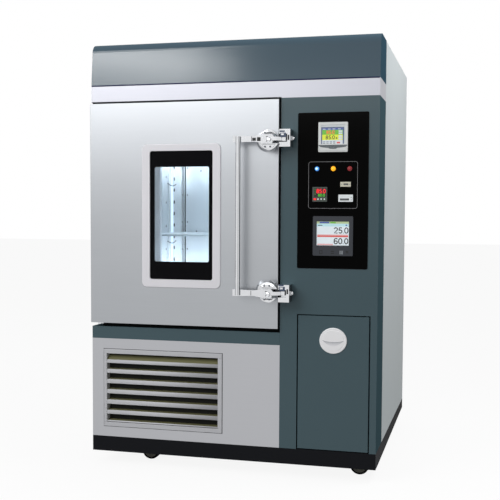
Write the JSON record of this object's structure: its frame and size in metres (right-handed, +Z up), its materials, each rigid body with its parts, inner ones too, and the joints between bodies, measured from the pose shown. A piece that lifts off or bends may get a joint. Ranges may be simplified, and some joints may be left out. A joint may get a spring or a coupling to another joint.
{
  "type": "environmental test chamber",
  "caption": "Free-standing temperature and humidity test chamber with windowed door, control column, louvred machine bay and casters.",
  "frame": {"origin": "floor level under the middle of the object's bounding box", "axes": "+Z up, the door and controls face -Y, +X to the right as seen from the front"},
  "size_m": [1, 1.038, 1.464],
  "materials": {
    "painted_blue_grey": "fine textured powder coat",
    "painted_light": "smooth powder coat",
    "painted_black": "satin black paint",
    "brushed_stainless": "fine brushed stainless sheet",
    "bright_stainless": "bright annealed stainless sheet",
    "steel_frame": "grey zinc paint",
    "polished_chrome": "polished chrome plate",
    "black_gloss": "gloss black",
    "off_white_plastic": "satin moulded plastic",
    "white_plastic": "satin moulded plastic",
    "dark_plastic": "dark moulded plastic",
    "foam": "rigid polyurethane foam",
    "silicone": "grey silicone rubber",
    "pane": "clear tempered glass",
    "filter_mesh": "fine filter mesh",
    "aluminium_fins": "thin aluminium fins",
    "tank_plastic": "milky polyethylene",
    "lamp_lens": "translucent lens",
    "rubber_tread": "black rubber tread",
    "zinc": "yellow passivated zinc plate"
  },
  "bodies": {
    "cabinet": {"air_filter": "filter_mesh", "base_frame": "steel_frame", "cable_port": "bright_stainless", "chamber_lamp": "white_plastic", "chamber_liner": "bright_stainless", "compressor": "painted_black", "condenser_coil": "aluminium_fins", "condenser_shroud": "painted_black", "control_column": "painted_blue_grey", "control_panel": "black_gloss", "controller_case": "white_plastic", "display_windows": "pane", "drain_spigot": "bright_stainless", "electrical_plate": "steel_frame", "evaporator_coil": "aluminium_fins", "fan_motor": "dark_plastic", "front_frame": "bright_stainless", "header_trim": "bright_stainless", "heater_element": "bright_stainless", "hinge_brackets": "polished_chrome", "humidifier_boiler": "bright_stainless", "indicator_lamps": "lamp_lens", "insulation": "foam", "latch_strikes": "polished_chrome", "left_side_panel": "painted_light", "louvre_grille": "brushed_stainless", "lower_front_panel": "brushed_stainless", "lower_rail": "painted_blue_grey", "panel_meters": "dark_plastic", "plinth_skirt": "painted_black", "rear_baffle": "bright_stainless", "rear_panel": "painted_light", "recorder_case": "dark_plastic", "right_side_panel": "painted_light", "roof_panel": "painted_light", "shelf_rails": "bright_stainless", "top_hood": "painted_blue_grey", "water_tank": "tank_plastic", "wire_shelves": "polished_chrome"},
    "main_door": {"door_skin": "brushed_stainless", "door_foam": "foam", "door_pan": "bright_stainless", "door_gasket": "silicone", "window_frame": "off_white_plastic", "window_glass": "pane", "latch_bases": "polished_chrome"},
    "door_latch": {"latch_handle": "polished_chrome"},
    "service_door": {"service_door": "painted_blue_grey", "pull_cup": "off_white_plastic"},
    "controller_flap": {"controller_flap": "white_plastic"},
    "circulation_fan": {"circulation_fan": "aluminium_fins"},
    "condenser_fan": {"condenser_fan": "dark_plastic"},
    "caster_front_left": {"caster_fork_front_left": "zinc"},
    "wheel_front_left": {"caster_wheel_front_left": "rubber_tread"},
    "caster_front_right": {"caster_fork_front_right": "zinc"},
    "wheel_front_right": {"caster_wheel_front_right": "rubber_tread"},
    "caster_rear_left": {"caster_fork_rear_left": "zinc"},
    "wheel_rear_left": {"caster_wheel_rear_left": "rubber_tread"},
    "caster_rear_right": {"caster_fork_rear_right": "zinc"},
    "wheel_rear_right": {"caster_wheel_rear_right": "rubber_tread"}
  },
  "joints": [
    {"name": "main_door_swing", "type": "hinge", "parent": "cabinet", "child": "main_door", "pos_m": [-0.486, -0.395, 0.87], "axis": [0, 0, -1], "range_deg": [0, 105]},
    {"name": "door_latch_pull", "type": "hinge", "parent": "main_door", "child": "door_latch", "pos_m": [0.149, -0.499, 0.87], "axis": [0, 0, 1], "range_deg": [0, 30]},
    {"name": "service_door_swing", "type": "hinge", "parent": "cabinet", "child": "service_door", "pos_m": [0.4665, -0.441, 0.32], "axis": [0, 0, 1], "range_deg": [0, 100]},
    {"name": "controller_flap_drop", "type": "hinge", "parent": "cabinet", "child": "controller_flap", "pos_m": [0.35, -0.457, 1.086], "axis": [1, 0, 0], "range_deg": [0, 100]},
    {"name": "circulation_fan_spin", "type": "hinge", "parent": "cabinet", "child": "circulation_fan", "pos_m": [-0.165, 0.273, 0.94], "axis": [0, 1, 0], "continuous": true},
    {"name": "condenser_fan_spin", "type": "hinge", "parent": "cabinet", "child": "condenser_fan", "pos_m": [-0.24, -0.305, 0.221], "axis": [0, 1, 0], "continuous": true},
    {"name": "caster_swivel_front_left", "type": "hinge", "parent": "cabinet", "child": "caster_front_left", "pos_m": [-0.347, -0.349, 0.08], "axis": [0, 0, 1], "continuous": true},
    {"name": "wheel_roll_front_left", "type": "hinge", "parent": "caster_front_left", "child": "wheel_front_left", "pos_m": [-0.317, -0.349, 0.0325], "axis": [0, 1, 0], "continuous": true},
    {"name": "caster_swivel_front_right", "type": "hinge", "parent": "cabinet", "child": "caster_front_right", "pos_m": [0.405, -0.349, 0.08], "axis": [0, 0, 1], "continuous": true},
    {"name": "wheel_roll_front_right", "type": "hinge", "parent": "caster_front_right", "child": "wheel_front_right", "pos_m": [0.435, -0.349, 0.0325], "axis": [0, 1, 0], "continuous": true},
    {"name": "caster_swivel_rear_left", "type": "hinge", "parent": "cabinet", "child": "caster_rear_left", "pos_m": [-0.347, 0.395, 0.08], "axis": [0, 0, 1], "continuous": true},
    {"name": "wheel_roll_rear_left", "type": "hinge", "parent": "caster_rear_left", "child": "wheel_rear_left", "pos_m": [-0.347, 0.425, 0.0325], "axis": [1, 0, 0], "continuous": true},
    {"name": "caster_swivel_rear_right", "type": "hinge", "parent": "cabinet", "child": "caster_rear_right", "pos_m": [0.405, 0.395, 0.08], "axis": [0, 0, 1], "continuous": true},
    {"name": "wheel_roll_rear_right", "type": "hinge", "parent": "caster_rear_right", "child": "wheel_rear_right", "pos_m": [0.405, 0.425, 0.0325], "axis": [1, 0, 0], "continuous": true}
  ]
}
